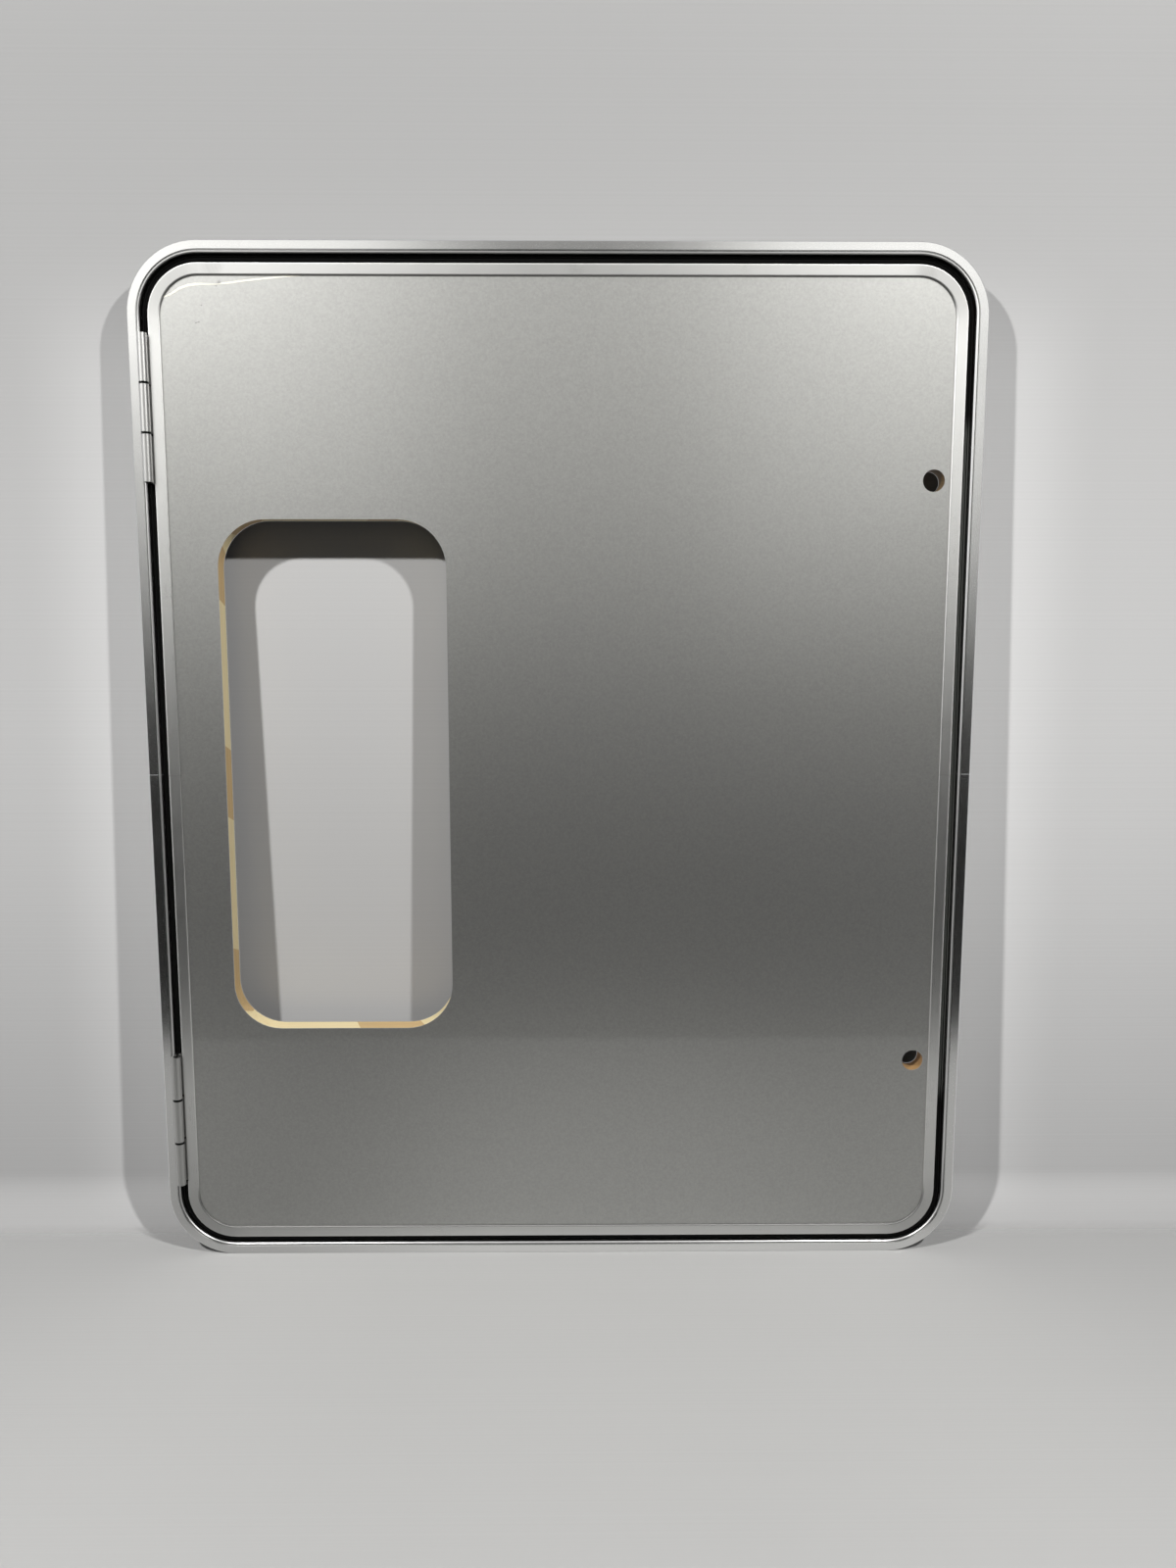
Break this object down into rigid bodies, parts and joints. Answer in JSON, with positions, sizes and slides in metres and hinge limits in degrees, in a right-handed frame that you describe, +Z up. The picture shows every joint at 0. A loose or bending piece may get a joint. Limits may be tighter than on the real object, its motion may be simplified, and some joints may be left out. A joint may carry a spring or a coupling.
{
  "type": "service hatch",
  "caption": "Upright caravan service hatch: aluminium surround with rubber seal and a silver sandwich door on knuckle hinges, with an open rounded cut-out and empty lock holes.",
  "frame": {"origin": "on the back face of the surround's flange, where it meets the wall, at the middle of the bottom rail", "axes": "+X to the right seen from outside, +Y into the wall, +Z up"},
  "size_m": [0.84, 0.0434, 1.0399],
  "materials": {
    "frame_aluminium": "satin anodised",
    "trim_aluminium": "satin anodised",
    "silver_sheet": "silver metallic",
    "seal_rubber": "matte black",
    "core_timber": "bare softwood",
    "core_foam": "closed-cell foam",
    "hinge_aluminium": "satin anodised",
    "pin_steel": "plain"
  },
  "bodies": {
    "frame": {"frame_upper_half": "frame_aluminium", "frame_lower_half": "frame_aluminium", "frame_seal": "seal_rubber", "upper_hinge_frame_leaf": "hinge_aluminium", "lower_hinge_frame_leaf": "hinge_aluminium"},
    "door": {"door_trim_upper": "trim_aluminium", "door_trim_lower": "trim_aluminium", "outer_skin": "silver_sheet", "inner_skin": "silver_sheet", "lock_stile": "core_timber", "top_rail": "core_timber", "cutout_head_rail": "core_timber", "cutout_sill_rail": "core_timber", "bottom_rail": "core_timber", "hinge_post_upper": "core_timber", "hinge_post_middle": "core_timber", "hinge_post_lower": "core_timber", "cutout_trimmer": "core_timber", "foam_upper": "core_foam", "foam_middle": "core_foam", "foam_lower": "core_foam", "upper_hinge_door_leaf": "hinge_aluminium", "upper_hinge_pin": "pin_steel", "lower_hinge_door_leaf": "hinge_aluminium", "lower_hinge_pin": "pin_steel"}
  },
  "joints": [
    {"name": "door_swing", "type": "hinge", "parent": "frame", "child": "door", "pos_m": [-0.4046, -0.0075, 0.51475], "axis": [0, 0, -1], "range_deg": [0, 180]}
  ]
}
